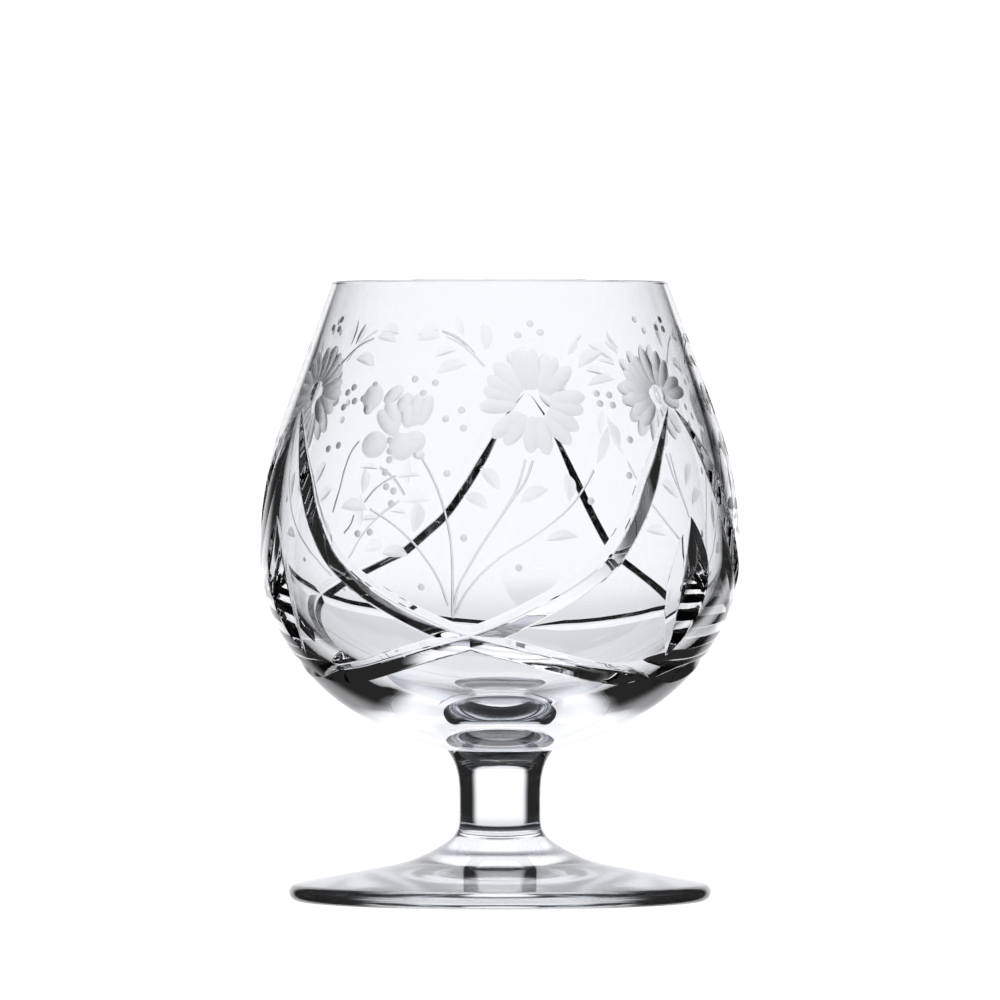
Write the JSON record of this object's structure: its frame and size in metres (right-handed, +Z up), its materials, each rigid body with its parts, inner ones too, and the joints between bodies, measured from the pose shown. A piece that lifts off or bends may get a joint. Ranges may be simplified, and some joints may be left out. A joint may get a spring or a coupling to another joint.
{
  "type": "brandy snifter",
  "caption": "Short-stemmed brandy snifter in heavy clear glass: a wide tapering bowl with crossing mitre cuts and engraved flowers, on a waisted stem and a broad round foot.",
  "frame": {"origin": "centre of the foot's underside, on the table plane", "axes": "+Z up along the glass's axis, towards the rim; the side shown in the picture faces -Y and +X is to its right"},
  "size_m": [0.096, 0.096, 0.1237],
  "materials": {
    "bowl_glass": "clear polished glass, polished mitre cuts, frosted engraving",
    "stem_glass": "clear fire-polished glass",
    "foot_glass": "clear fire-polished glass"
  },
  "bodies": {
    "root": {"bowl": "bowl_glass", "stem": "stem_glass", "foot": "foot_glass"}
  },
  "joints": []
}
